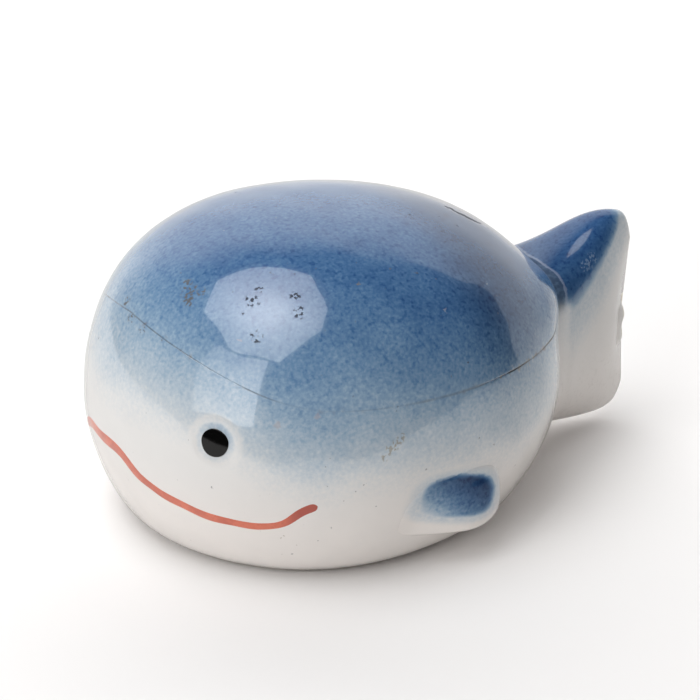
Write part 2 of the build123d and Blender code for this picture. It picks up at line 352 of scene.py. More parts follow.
class EggForm:
    """The body's outer or inner form: a turned half profile, stretched fore and aft.

    The profile runs from the crown to the edge of the flat base, with its place along the
    curve in millimetres. Above the foot it is softened along its length by a bell curve.
    skin is how far the form lies outside the glazed skin, so the inner form has minus the wall.
    """

    def __init__(self, skin, soften):
        reach, crown, depth = SIDE_REACH + skin, CROWN + skin, BELLY + skin
        self.nose, self.rear, self.reach = NOSE_LENGTH + skin, REAR_LENGTH + skin, reach
        shoulder, side = (CROWN_FLAT * reach, crown), (reach, CROWN_SIDE * crown)
        hip = np.array([HIP_REACH * reach, -HIP_DEPTH * depth])
        foot = np.array([FOOT_REACH * reach, -depth])
        start, turn = foot + (hip - foot) * FOOT_START, foot + (hip - foot) * FOOT_TURN
        edge = foot - (np.linalg.norm(hip - foot) * FOOT_EDGE, 0)
        crown_steps, flank_steps, foot_steps = CURVE_STEPS
        curve = np.vstack([
            drawn_curve([(0, crown), shoulder, side, (reach, 0)], crown_steps),
            drawn_curve([(reach, 0), (reach, -BELLY_SIDE * depth), hip, start], flank_steps)[1:],
            drawn_curve([start, turn, edge], foot_steps)[1:],
        ])
        run = np.concatenate([[0], np.cumsum(np.hypot(*np.diff(curve, axis=0).T))])
        along = np.arange(0, run[-1], PROFILE_STEP)
        radius = np.interp(along, run, curve[:, 0])
        height = np.interp(along, run, curve[:, 1])
        if soften:
            steps = int(3 * PROFILE_SOFTEN / PROFILE_STEP)
            bell = np.exp(-0.5 * (np.arange(-steps, steps + 1) * PROFILE_STEP / PROFILE_SOFTEN) ** 2)
            bell /= bell.sum()
            wide_radius = np.concatenate([-radius[steps:0:-1], radius])
            wide_height = np.concatenate([height[steps:0:-1], height])
            soft_radius = np.convolve(np.pad(wide_radius, (0, steps), "edge"), bell, "valid")
            soft_height = np.convolve(np.pad(wide_height, (0, steps), "edge"), bell, "valid")
            foot_run = run[crown_steps + flank_steps - 2]
            hold = eased((foot_run - SOFTEN_CLEAR - along) / SOFTEN_RUN)
            radius = radius + hold * (soft_radius[: len(radius)] - radius)
            height = height + hold * (soft_height[: len(height)] - height)
            radius[0] = 0
        self.along, self.radius, self.height = along, radius, height
        self.end = along[-1]

    def stretch(self, turn):
        """Fore-and-aft stretch by angle from the nose, blended over the widest part."""
        nose_share = 0.5 + 0.5 * np.tanh(np.cos(turn) / HALVES_BLEND)
        return (self.rear + (self.nose - self.rear) * nose_share) / self.reach

    def point(self, turn, along):
        """Points of the skin by angle from the nose and place along the profile.

        The profile's radius is turned by the angle and stretched fore and aft.
        """
        radius = np.interp(along, self.along, self.radius)
        height = np.interp(along, self.along, self.height)
        x = BODY_X + radius * np.cos(turn) * self.stretch(turn)
        return np.stack([x, radius * np.sin(turn), GIRTH_HEIGHT + height + 0 * turn], -1)

    def along_at(self, height):
        """Place along the profile at a height above the ground."""
        return np.interp(-(height - GIRTH_HEIGHT), -self.height, self.along)

    def outside(self, points):
        """About how far points lie outside the skin, in millimetres.

        Their distance from the axis, with the stretch taken out, less the radius at their height.
        """
        x, y, z = points[..., 0] - BODY_X, points[..., 1], points[..., 2]
        turn = np.arctan2(y, x)
        for _ in range(3):
            turn = np.arctan2(y, x / self.stretch(turn))
        radius = np.interp(self.along_at(z), self.along, self.radius)
        radius = np.where(z > GIRTH_HEIGHT + self.height[0], 0, radius)
        return np.hypot(x / self.stretch(turn), y) - radius

    def seam_along(self, turn):
        """Place along the profile where each angle meets the seam, by halving the interval."""
        low, high = np.zeros_like(turn), np.full_like(turn, self.along_at(GIRTH_HEIGHT))
        for _ in range(40):
            middle = (low + high) / 2
            spot = self.point(turn, middle)
            above = spot[..., 2] > seam_height(spot[..., 0], spot[..., 1])
            low, high = np.where(above, middle, low), np.where(above, high, middle)
        return (low + high) / 2


SEAM_CURVE = np.vstack([
    [SEAM_REAR, SEAM_BACK], drawn_curve([SEAM_BEND, SEAM_LEVEL, SEAM_SWEEP, SEAM_NOSE], 200)
])


def seam_height(x, y):
    """Height of the seam: nearly level along the flanks and swept up to the nose.

    Beside the tail it rises by about a millimetre, and it slopes a little across the nose.
    """
    height = np.interp(x - BODY_X, SEAM_CURVE[:, 0], SEAM_CURVE[:, 1])
    wide, narrow = SEAM_RISE_SIDES
    rise = SEAM_RISE * eased((wide - np.abs(y)) / (wide - narrow)) * (x < 0)
    over_nose = np.clip((x - SEAM_SLOPE_START) / SEAM_SLOPE_RUN, 0, 1)
    return height + rise - SEAM_SLOPE * np.clip(-y, 0, SEAM_SLOPE_SIDE) * over_nose


def normals(rows):
    """Unit normals of a closed grid of points, from the differences between its neighbours."""
    down = np.gradient(rows, axis=0)
    across = np.roll(rows, -1, 1) - np.roll(rows, 1, 1)
    normal = np.cross(down, across)
    return normal / np.maximum(np.linalg.norm(normal, axis=-1, keepdims=True), 1e-12)


def hand_wobble(points):
    """Slight unevenness of a hand-fettled casting: a few crossed waves, in millimetres."""
    x, y, z = points[..., 0], points[..., 1], points[..., 2]
    return HAND_WOBBLE * (
        np.sin(0.31 * x + 0.17 * y + 1.1) * np.sin(0.27 * y - 0.22 * z + 0.4)
        + 0.6 * np.sin(0.53 * x - 0.41 * z + 2.0) * np.sin(0.47 * y + 0.36 * x + 0.9)
        + 0.4 * np.sin(0.9 * z + 0.35 * x) * np.sin(0.8 * y - 0.5 * x + 1.7)
    )


outer, inner = EggForm(0, True), EggForm(-WALL, False)
turns = np.arange(ROUND_COLUMNS) * 2 * np.pi / ROUND_COLUMNS
outer_seam, inner_seam = outer.seam_along(turns), inner.seam_along(turns)


def seam_wear(x):
    """How open the seam is along the body: clear on the snout and the rear, healed between."""
    front, rear = eased((x - 24) / 8) * 0.4, eased((2 - x) / 8)
    return 0.1 + 0.85 * np.maximum(front, rear)


def seam_groove(points, distance):
    """How deep the skin dips at the seam: a bell curve of the distance, healed beside the tail."""
    clear = np.where(points[..., 0] < 0, np.clip(np.abs(points[..., 1]) - ROOT_SIDE, 0, 1), 1)
    return SEAM_DEPTH * clear * seam_wear(points[..., 0]) * np.exp(-((distance / SEAM_WIDTH) ** 2))


def root_swell(points):
    """How far the body is drawn out towards the tail: a low rise on each side of the root.

    It is a bell curve of the height times one of the place across, growing rearwards.
    """
    x, y, z = points[..., 0], points[..., 1], points[..., 2]
    rise = np.exp(-(((z - SWELL_HEIGHT) / SWELL_TALL) ** 2))
    rise = rise * np.exp(-(((np.abs(y) - SWELL_SIDE) / SWELL_WIDE) ** 2))
    return SWELL * rise * np.clip((SWELL_START - x) / SWELL_RUN, 0, 1) ** 2


def drawn_out(points):
    """Points moved rearwards, outwards and up by the swell at the tail's root."""
    ones = np.ones(points.shape[:-1])
    way = np.stack([ones, points[..., 1], ones], -1) * SWELL_WAY
    return points + root_swell(points)[..., None] * way


THIN_BLUE, THICK_BLUE = (0.056, 0.158, 0.375), (0.036, 0.095, 0.21)
# The low clay colour is lighter than the cool one: painted light of the table's bounce on the belly
CLAY_COOL, CLAY_WARM_BOUNCE_LIT, CLAY_DULL = (0.80, 0.80, 0.79), (0.91, 0.875, 0.845), (0.74, 0.73, 0.72)
BISQUE = (0.66, 0.60, 0.52)
BLUE_START, BLUE_SPAN = 12.0, 28.0
BLUE_LEVELS = (
    (0.0, 0.0), (0.12, 0.03), (0.22, 0.12), (0.38, 0.25),
    (0.52, 0.39), (0.66, 0.54), (0.82, 0.70), (1.0, 0.92),
)
RAGGED_SIZE, RAGGED_REACH = 1 / 1.3, 1.3
PATCH_X, PATCH_Z, PATCH_LONG, PATCH_TALL, PATCH_TILT = 4.3, 11.4, 6.2, 3.2, -11.0


class Glaze(Recipe):
    """Clay, airbrushed underglaze blue and clear glaze: what all the cast pieces share."""

    def __init__(self, name):
        self.material = bpy.data.materials.new(name)
        super().__init__(self.material)
        self.place = self.node("ShaderNodeTexCoord").out("Object")
        apart = self.node("ShaderNodeSeparateXYZ", None, {0: self.place})
        self.x, self.y, self.z = (apart.out(axis) * 1000 for axis in "XYZ")
        self.broad = self.noise(self.place, 14, 2) - 0.5
        self.cloud = self.noise(self.place, 4, 3, 0.31) - 0.5
        self.fine = self.noise(self.place, 0.5, 2, 0.77) - 0.5
        ragged = self.noise(self.place, RAGGED_SIZE, 3).out("Color")
        moved = self.vectors("SUBTRACT", ragged, (0.5, 0.5, 0.5))
        self.ragged = self.vectors("MULTIPLY_ADD", moved, (RAGGED_REACH * MM,) * 3, self.place)
        self.seam = self.node("ShaderNodeAttribute", {"attribute_name": "seam_distance"}).out("Fac")

    def clay(self):
        """White clay, faintly mottled; lighter and warmer low down, as painted light from the table."""
        white = self.mix(self.z.ramp(22, 6), CLAY_COOL, CLAY_WARM_BOUNCE_LIT)
        return self.mix((self.cloud + 0.5) * 0.38, white, CLAY_DULL)

    def body_blue(self):
        """Coverage of the body: full on the back, gone low on the flanks.

        It follows the height, which counts for less where the spray was held back.
        """
        x, z = self.x, self.z
        level = z + self.broad * 3.0 + self.cloud * 1.4
        # Held back on the snout and a little behind the eye
        level = level - x.ramp(22, 42) * 7.6 - x.ramp(24, 16) * x.ramp(4, 12) * 1.3
        # Heavier over the rear half of the back
        level = level + x.ramp(22, -6) * z.ramp(21, 32, -0.6, 5.0) + x.ramp(4, -8) * 0.9
        # Held back low down, below the tail and in front of the flipper
        level = level - x.ramp(-16, -26) * z.ramp(27, 23) * 2.5
        level = level - x.ramp(12, 22) * z.ramp(24, 16) * 0.7
        share = (level - BLUE_START) / BLUE_SPAN
        return self.node("ShaderNodeValToRGB", {"stops": BLUE_LEVELS}, {0: share})

    def flipper_patch(self):
        """The blue patch on each flipper's face: a soft squarish oval, thinner to the front.

        Its reach is the cube root of the cubes of the places along and up, added together.
        """
        tilt = np.radians(PATCH_TILT)
        x, z = (self.x - PATCH_X), (self.z - PATCH_Z)
        along = (x * np.cos(tilt) - z * np.sin(tilt)) / PATCH_LONG
        up = (x * np.sin(tilt) + z * np.cos(tilt)) / PATCH_TALL
        reach = ((along * along) ** 1.5 + (up * up) ** 1.5) ** (1 / 3)
        reach = reach + self.cloud * 0.22 + self.fine * 0.16
        flank = abs(self.y).ramp(22, 25)
        patch = reach.ramp(1.14, 0.72) * (z * 0.125 + 0.82 - x * 0.1).larger(0.25)
        return patch.larger(reach.ramp(1.5, 0.9) * 0.12) * flank

    def spray(self, coverage, ground, thick):
        """Airbrushed blue over the ground: it tints like coloured glass, by how thick it lies.

        The ground is multiplied by the tint to the power of the spray's density. The spray is
        broken into fine drops where it is thin; thick is the share of a second, darker coat.
        """
        loose = (coverage * (1.03 - coverage)).larger(0.0) ** 0.5
        blotch = self.noise(self.place, 0.8, 2, 0.51).ramp(0.50, 0.72)
        grain = self.fine * 0.48 + self.cloud * 0.32 + blotch * 0.24 + 0.94
        dense = (coverage * grain + self.fine * 0.42 * loose).larger(0.0)
        tint = self.mix(thick, THIN_BLUE, THICK_BLUE)
        parts = self.node("ShaderNodeSeparateXYZ", None, {0: tint})
        glass = {axis: parts.out(axis) ** dense for axis in "XYZ"}
        glass = self.node("ShaderNodeCombineXYZ", None, glass)
        return self.vectors("MULTIPLY", ground, glass)

    def spots(self, places, broken=False):
        """Where ragged spots lie: x, y, z and radius in millimetres. Broken ones are specks."""
        spots = None
        for x, y, z, radius in places:
            gap = self.vectors("DISTANCE", self.ragged, (x * MM, y * MM, z * MM)).out("Value")
            spot = gap.ramp(radius * MM * 1.15, radius * MM * 0.55)
            spots = spot if spots is None else spots.larger(spot)
        return spots * self.noise(self.place, 0.5, 2, 0.45).ramp(0.50, 0.57) if broken else spots

    def fire(self, colour, dull=0.0, gloss=1.0):
        """The clear glaze over everything but the wiped base, with its faint orange peel.

        dull is where the glaze is pitted or worn, so that nothing shows in it; gloss is how
        strongly the whole piece mirrors.
        """
        bare = self.z.ramp(0.28, 0.12)
        colour = self.mix(bare, colour, BISQUE)
        matt = bare.larger(dull)
        roughness = matt * 0.55 + (self.noise(self.place, 2.5, 3, 0.2) - 0.5) * 0.06 + 0.17
        height = self.noise(self.place, 1.6, 3, 0.6) * 0.7 + self.noise(self.place, 0.35, 2, 0.9) * 0.12
        bump = self.node("ShaderNodeBump", None, {"Strength": 0.12, "Distance": 0.00008, "Height": height})
        self.finish(self.node("ShaderNodeBsdfPrincipled", None, {
            "Base Color": colour, "Roughness": roughness, "Normal": bump,
            "Coat Weight": (1 - matt) * gloss, "Coat Roughness": 0.025, "Coat IOR": 1.55,
            "Specular IOR Level": 0.5 * gloss**2,
        }))
        return self.material


# Kiln and wear marks, each x, y, z and a radius in millimetres: stains and chips beside the
# seam, rubs, a scratch near the crown and the pits that the softbox shows
BROWN_MARKS = (
    (32.4, 5.8, 38.3, 1.0), (32.6, 7.2, 37.9, 1.4), (33.2, 8.1, 37.2, 1.1), (31.5, 8.6, 38.2, 0.8),
    (37.6, -2.3, 33.9, 0.8), (38.5, 0.9, 32.8, 0.9), (38.4, 4.5, 32.3, 0.7),
)
TAN_MARKS = (
    (14.1, 18.6, 40.1, 0.3), (13.5, 18.9, 39.9, 0.45), (13.1, 19.3, 39.7, 0.35), (15.5, 31.1, 20.3, 0.7),
    (15.0, 31.1, 20.9, 0.8), (14.4, 31.1, 21.3, 0.9), (13.8, 31.0, 21.9, 0.8), (13.1, 31.0, 22.3, 0.7),
    (27.9, 25.4, 8.4, 0.35), (25.8, 25.9, 6.8, 0.3),
)
CHIP_MARKS = (
    (-4.6, 26.9, 25.8, 0.5), (-6.3, 26.2, 25.7, 0.5), (-8.5, 25.1, 25.5, 0.7), (-10.5, 24.0, 25.4, 0.8),
    (-12.2, 22.9, 25.5, 0.5),
)
DARK_MARKS = (
    (40.6, -5.7, 27.5, 0.3), (28.6, 15.5, 37.3, 0.25), (23.6, 16.5, 39.2, 0.15), (21.0, -8.5, 42.5, 0.2),
    (16.2, -12.4, 42.3, 0.2), (16.2, -11.0, 42.7, 0.25), (-14.8, 16.3, 32.2, 0.3), (-1.5, 6.2, 42.4, 0.25),
    (-17.8, 16.5, 27.9, 0.2), (22.3, 28.8, 10.2, 0.2), (4.2, 18.7, 39.5, 0.2), (-7.9, 8.3, 40.2, 0.25),
    (1.0, 27.4, 29.3, 0.22), (-7.3, 26.5, 11.2, 0.2), (0.6, 29.9, 18.9, 0.2),
)
SPECK_MARKS = (
    (25.4, 14.1, 39.6, 0.8), (27.0, 14.8, 38.5, 1.1), (22.0, 17.6, 39.2, 0.8), (22.4, 19.6, 37.8, 1.1),
    (28.3, 18.8, 35.2, 1.0),
)
SCAR_MARKS = (
    (-9.9, 2.0, 40.4, 0.5), (-10.4, 2.1, 40.2, 0.55), (-10.6, 2.8, 40.0, 0.6), (-11.0, 3.3, 39.8, 0.65),
    (-11.5, 3.6, 39.6, 0.7), (-12.0, 3.9, 39.3, 0.7), (-12.4, 4.3, 39.0, 0.65), (-12.9, 4.6, 38.7, 0.6),
    (-13.3, 4.7, 38.4, 0.5), (-13.9, 4.5, 38.1, 0.4),
)
PINK_MARKS = (
    (28.5, 25.3, 25.2, 0.5), (23.8, 27.6, 26.3, 0.4), (30.2, 17.6, 34.7, 0.35), (28.9, 18.6, 34.7, 0.3),
)
PALE_MARKS = (
    (24.2, 0.2, 42.5, 0.3), (2.5, 23.4, 35.6, 0.4), (-6.4, 18.9, 36.0, 0.35), (-4.4, 27.0, 25.9, 0.6),
    (-8.4, 25.3, 25.3, 0.7), (-10.5, 24.1, 25.1, 0.8), (-11.9, 23.1, 25.2, 0.7), (-7.0, 25.9, 26.0, 0.5),
)
# Each kind of rub and stain: its marks, whether they are broken into specks, strength and colour
RUBS = (
    (PALE_MARKS, True, 0.4, (0.50, 0.53, 0.56)),
    (PINK_MARKS, False, 0.3, (0.50, 0.36, 0.33)),
    (TAN_MARKS, True, 0.6, (0.27, 0.225, 0.14)),
    (CHIP_MARKS, True, 0.55, (0.20, 0.165, 0.115)),
)
STAIN_BROWN, SCRATCH_PALE, PIT_DARK = (0.09, 0.09, 0.09), (0.60, 0.62, 0.66), (0.04, 0.045, 0.06)
SEAM_STAIN, SEAM_HAIR, SEAM_CRACK = (0.20, 0.13, 0.085), (0.17, 0.155, 0.11), (0.05, 0.045, 0.04)
EYE_TURN, EYE_HEIGHT = np.radians(40.4), 21.75
EYE_PLACES = [outer.point(EYE_TURN * side, outer.along_at(EYE_HEIGHT)) for side in (1, -1)]


def body_glaze():
    """The body's finish, with its seam, stains, pits and the pale rings round the eyes."""
    glaze = Glaze("airbrushed_body_glaze")
    # The blue lies deepest in a band across the rear half of the back
    deep = glaze.x.ramp(4, -8) * glaze.x.ramp(-20, -11)
    coverage = glaze.body_blue() * (deep * 0.18 + 1)
    # Round each eye the blue is thinned in a ring, which is a painted highlight on the dimple's rim,
    # and a little blue is added in the dimple, which is painted shade in its hollow
    ring, bowl_shade_painted = None, None
    for place in EYE_PLACES:
        centre = tuple(float(value) * MM for value in place)
        gap = glaze.vectors("DISTANCE", glaze.place, centre).out("Value") * 1000
        rim_light_painted, floor = gap.ramp(2.5, 3.1) * gap.ramp(4.5, 3.6), gap.ramp(3.1, 2.2)
        ring = rim_light_painted if ring is None else ring.larger(rim_light_painted)
        bowl_shade_painted = floor if bowl_shade_painted is None else bowl_shade_painted.larger(floor)
    coverage = (coverage * (1 - ring * 0.7) + bowl_shade_painted * 0.05 + bowl_shade_painted * glaze.cloud * 0.12).larger(0.0)
    patch = glaze.flipper_patch()
    thick = (patch * 0.6).larger(glaze.x.ramp(5, -10) * 0.4 + deep * 0.35)
    colour = glaze.spray(coverage.larger(patch), glaze.clay(), thick)
    for marks, broken, strength, paint in RUBS:
        colour = glaze.mix(glaze.spots(marks, broken) * strength, colour, paint)
    brown = glaze.spots(BROWN_MARKS, True)
    colour = glaze.mix(brown * 0.9, colour, STAIN_BROWN)
    halo = [(x, y, z, radius * 1.7) for x, y, z, radius in SCAR_MARKS]
    colour = glaze.mix(glaze.spots(halo) * 0.4, colour, SCRATCH_PALE)
    scar = glaze.spots(SCAR_MARKS)
    stray = glaze.noise(glaze.place, 0.9, 2, 0.62).ramp(0.735, 0.77) * 0.6
    pits = glaze.spots(DARK_MARKS).larger(glaze.spots(SPECK_MARKS, True)).larger(stray)
    colour = glaze.mix(scar.larger(pits) * 0.9, colour, PIT_DARK)

    # Seam: a hair crack, clear on the snout and the rear and healed beside the tail's root. Dirt
    # has stained it brown in places, and a faint broader line runs with it along the rear.
    aside = abs(glaze.y).ramp(11.4, 12.4)
    open_seam = aside.larger(glaze.x.ramp(-4, 4))
    wear = glaze.x.ramp(24, 32, 0.0, 0.5).larger(glaze.x.ramp(2, -6) * aside)
    along = glaze.noise(glaze.place, 5, 3, 0.13) - (1 - open_seam)
    stain = glaze.seam.ramp(0.8, 0.0) * glaze.noise(glaze.place, 1.5, 4, 0.55).ramp(0.54, 0.74)
    colour = glaze.mix(stain * (wear * 0.5 + 0.25) * open_seam, colour, SEAM_STAIN)
    hair = glaze.seam.ramp(0.30, 0.08) * along.ramp(0.34, 0.58, 0.2, 1.0) * glaze.x.ramp(18, 6) * 0.3
    colour = glaze.mix(hair * aside, colour, SEAM_HAIR)
    crack = glaze.seam.ramp(0.15, 0.03) * along.ramp(0.36, 0.56, 0.3, 1.0) * (wear * 0.8 + 0.14)
    colour = glaze.mix(crack * open_seam, colour, SEAM_CRACK)
    return glaze.fire(colour, scar.larger(pits.larger(brown * 0.6)))


def set_seam_distance(piece, distance):
    """Stores each point's distance from the seam, in millimetres, for the crack in the glaze."""
    values = np.full(len(piece.data.vertices), 99.0)
    values[: distance.size] = distance.ravel()
    piece.data.attributes.new("seam_distance", "FLOAT", "POINT").data.foreach_set("value", values)


glaze = body_glaze()

# Rows from the crown crowd towards the seam, then cross the wall and go back up the inside
crowd = 1 - (1 - np.linspace(0.006, 1, UPPER_ROWS)) ** 2
upper_along = crowd[:, None] * (outer_seam - SEAM_GAP)
upper_rows = outer.point(turns, upper_along)
upper_distance = outer_seam - upper_along
upper_normal = normals(upper_rows)
upper_lift = hand_wobble(upper_rows) - seam_groove(upper_rows, upper_distance)
upper_rows = drawn_out(upper_rows + upper_normal * upper_lift[..., None])
inner_share = np.linspace(1, 0.01, INNER_ROWS)
upper_inner = inner.point(turns, inner_share[:, None] * (inner_seam - SEAM_GAP))
rim_share = np.array([0.25, 0.5, 0.75])[:, None, None]
rim_rows = upper_rows[-1] * (1 - rim_share) + upper_inner[0] * rim_share
upper_all = np.concatenate([upper_rows, rim_rows, upper_inner])
upper_shell = surface("upper_shell_glazed", upper_all, caps=(True, True))
upper_far = np.full((len(upper_all) - UPPER_ROWS, ROUND_COLUMNS), SEAM_FAR)
set_seam_distance(upper_shell, np.vstack([upper_distance, upper_far]))
upper_shell.data.materials.append(glaze)
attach(upper_shell, "root")
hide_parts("upper_shell")

# Lower shell: the white lower half with the snout, a flat base wiped bare of glaze and a vent
# hole that let the air out in the kiln. A shallow dimple is pressed for each eye.
DIMPLE_RADIUS, DIMPLE_FLOOR, DIMPLE_DEPTH = 4.0, 2.0, 0.2
VENT_RADIUS, VENT_LIP, VENT_CHAMFER, FOOT_HEIGHT = 3.25, 0.5, 0.4, 3.0


def skin_frame(form, turn, height):
    """A point of the skin with its outward normal, its level direction and its upward one."""
    along = form.along_at(height)
    point = form.point(turn, along)
    level = form.point(turn + 0.001, along) - form.point(turn - 0.001, along)
    upward = form.point(turn, along - 0.1) - form.point(turn, along + 0.1)
    level = level / np.linalg.norm(level, axis=-1, keepdims=True)
    normal = np.cross(level, upward)
    normal = normal / np.linalg.norm(normal, axis=-1, keepdims=True)
    return point, normal, level, np.cross(normal, level)


def dimple_depth(points):
    """Depth of the eye dimples: a flat floor, and a smooth climb to the skin round it."""
    depth = np.zeros(points.shape[:-1])
    for side in (1, -1):
        centre = skin_frame(outer, EYE_TURN * side, EYE_HEIGHT)[0]
        distance = np.linalg.norm(points - centre, axis=-1)
        climb = eased((DIMPLE_RADIUS - distance) / (DIMPLE_RADIUS - DIMPLE_FLOOR))
        depth = np.maximum(depth, DIMPLE_DEPTH * climb)
    return depth


# Rows go from the seam down the outside, in under the base, up through the vent and back up
# the inside to the seam
lower_crowd = np.linspace(0, 1, LOWER_ROWS) ** 2
lower_start = outer_seam + SEAM_GAP
lower_along = lower_start + lower_crowd[:, None] * (outer.end - lower_start)
lower_rows = outer.point(turns, lower_along)
lower_distance = lower_along - outer_seam
lower_normal = normals(lower_rows)
lower_lift = hand_wobble(lower_rows) * np.clip(lower_rows[..., 2] / FOOT_HEIGHT, 0, 1)
lower_lift = lower_lift - seam_groove(lower_rows, lower_distance) - dimple_depth(lower_rows)
lower_rows = drawn_out(lower_rows + lower_normal * lower_lift[..., None])
vent_way = np.stack([np.cos(turns), np.sin(turns), 0 * turns], -1)
vent_centre = np.array([BODY_X, 0.0, 0.0])
base_share = np.linspace(0, 1, 14)[1:, None, None]
vent_mouth = vent_centre + vent_way * (VENT_RADIUS + VENT_LIP)
base_rows = lower_rows[-1] * (1 - base_share) + vent_mouth * base_share
lip_turn = np.linspace(0, np.pi / 2, 6)[1:, None, None]
lip_rows = vent_centre + vent_way * (VENT_RADIUS + VENT_LIP * (1 - np.sin(lip_turn)))
lip_rows = lip_rows + UPWARD * VENT_LIP * (1 - np.cos(lip_turn))
floor_rows = np.stack([
    vent_centre + vent_way * VENT_RADIUS + UPWARD * (WALL - VENT_CHAMFER),
    vent_centre + vent_way * (VENT_RADIUS + VENT_CHAMFER) + UPWARD * WALL,
])
inner_end = inner.point(turns, inner.end)
floor_share = np.linspace(0, 1, 8)[1:-1, None, None]
floor_rows = np.concatenate([floor_rows, floor_rows[-1] * (1 - floor_share) + inner_end * floor_share])
climb = np.linspace(1, 0, INNER_ROWS)[:, None]
lower_inner = inner.point(turns, inner_seam + SEAM_GAP + climb * (inner.end - inner_seam))
lower_rim = lower_inner[-1] * (1 - rim_share) + lower_rows[0] * rim_share
lower_all = np.concatenate([lower_rows, base_rows, lip_rows, floor_rows, lower_inner, lower_rim])
lower_shell = surface("lower_shell_glazed", lower_all, wrapped=True)
lower_far = np.full((len(lower_all) - LOWER_ROWS, ROUND_COLUMNS), SEAM_FAR)
set_seam_distance(lower_shell, np.vstack([lower_distance, lower_far]))
lower_shell.data.materials.append(glaze)
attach(lower_shell, "root")
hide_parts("lower_shell")

# Eyes: a bead of black enamel in each dimple, let into the wall and glossy. Its own surface
# tension domed it in the kiln, and its edge isn't quite round.
EYE_RADIUS, EYE_BACK, EYE_BACK_EDGE, EYE_EDGE, EYE_DOME = 1.95, -0.95, -0.85, -0.13, 0.06
EYE_BLACK, EYE_DUST = (0.002, 0.002, 0.002), (0.02, 0.019, 0.018)


def eye_rows(side):
    """A low dome on a short wall, turned round the skin's normal at the eye."""
    centre, normal, level, upward = skin_frame(outer, EYE_TURN * side, EYE_HEIGHT)
    round_turns = np.linspace(0, 2 * np.pi, 96, endpoint=False) * -side
    dome = np.linspace(0.02, 1, 26)
    share = np.concatenate([dome, [1.0, 0.98]])
    height = np.concatenate([EYE_EDGE + EYE_DOME * (1 - dome**2), [EYE_BACK_EDGE, EYE_BACK]])
    edge = 1 + 0.012 * np.sin(3 * round_turns + 0.6) + 0.008 * np.sin(5 * round_turns)
    ring = np.cos(round_turns)[:, None] * level * side + np.sin(round_turns)[:, None] * upward
    flat = share[:, None, None] * EYE_RADIUS * ring[None] * edge[None, :, None]
    return centre + flat + height[:, None, None] * normal


eye_enamel = bpy.data.materials.new("black_enamel_bead")
recipe = Recipe(eye_enamel)
place = recipe.node("ShaderNodeTexCoord").out("Object")
dust = recipe.noise(place, 0.5, 3).ramp(0.62, 0.75) * 0.15
eye_colour = recipe.mix(dust, EYE_BLACK, EYE_DUST)
recipe.finish(recipe.node("ShaderNodeBsdfPrincipled", None, {
    "Base Color": eye_colour, "Roughness": dust * 0.4 + 0.06,
}))
for side, name in ((1, "left_eye"), (-1, "right_eye")):
    eye = surface(name + "_bead", eye_rows(side), caps=(True, True))
    eye.data.materials.append(eye_enamel)
    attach(eye, "root")
    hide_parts(name)

# Mouth: one brush stroke of red enamel round the snout, laid on over the glaze and fired on.
# It narrows towards its round ends, and the paint is streaky and a little uneven in width.
# Heights and widths of the stroke by its angle from the nose in degrees, the same on both sides
MOUTH_TURNS = (1.5, 11, 16, 20, 25, 31, 38, 44, 50, 54.5, 59, 62, 66)
MOUTH_HEIGHTS = (15.5, 14.9, 13.3, 12.5, 11.7, 11.1, 10.3, 10.1, 9.9, 10.2, 11.2, 12.6, 13.7)
MOUTH_WIDTH_TURNS, MOUTH_WIDTHS = (0, 18, 30, 45, 60, 66), (1.75, 1.72, 1.58, 1.42, 1.42, 1.5)
MOUTH_PROUD, MOUTH_INLAY, MOUTH_EDGE, MOUTH_STEPS = 0.04, 0.25, 0.012, 420
MOUTH_END, MOUTH_END_RUN = 66.5, 1.6
MOUTH_DEEP, MOUTH_BRIGHT = (0.60, 0.125, 0.07), (0.74, 0.175, 0.095)
MOUTH_GRAIN, MOUTH_SIDES = (0.50, 0.10, 0.06), (0.42, 0.065, 0.04)


def smooth_through(knots, values, places):
    """A natural cubic spline through the values at the knots."""
    knots, values = np.asarray(knots, float), np.asarray(values, float)
    gaps, rises = np.diff(knots), np.diff(values) / np.diff(knots)
    matrix = np.diag(np.concatenate([[1], 2 * (gaps[:-1] + gaps[1:]), [1]]))
    matrix += np.diag(np.concatenate([gaps[:-1], [0]]), -1) + np.diag(np.concatenate([[0], gaps[1:]]), 1)
    bend = np.linalg.solve(matrix, np.concatenate([[0], 6 * np.diff(rises), [0]]))
    spot = np.clip(np.searchsorted(knots, places) - 1, 0, len(gaps) - 1)
    gap, left, right = gaps[spot], places - knots[spot], knots[spot + 1] - places
    curve = (bend[spot] * right**3 + bend[spot + 1] * left**3) / (6 * gap)
    curve += (values[spot] / gap - bend[spot] * gap / 6) * right
    return curve + (values[spot + 1] / gap - bend[spot + 1] * gap / 6) * left


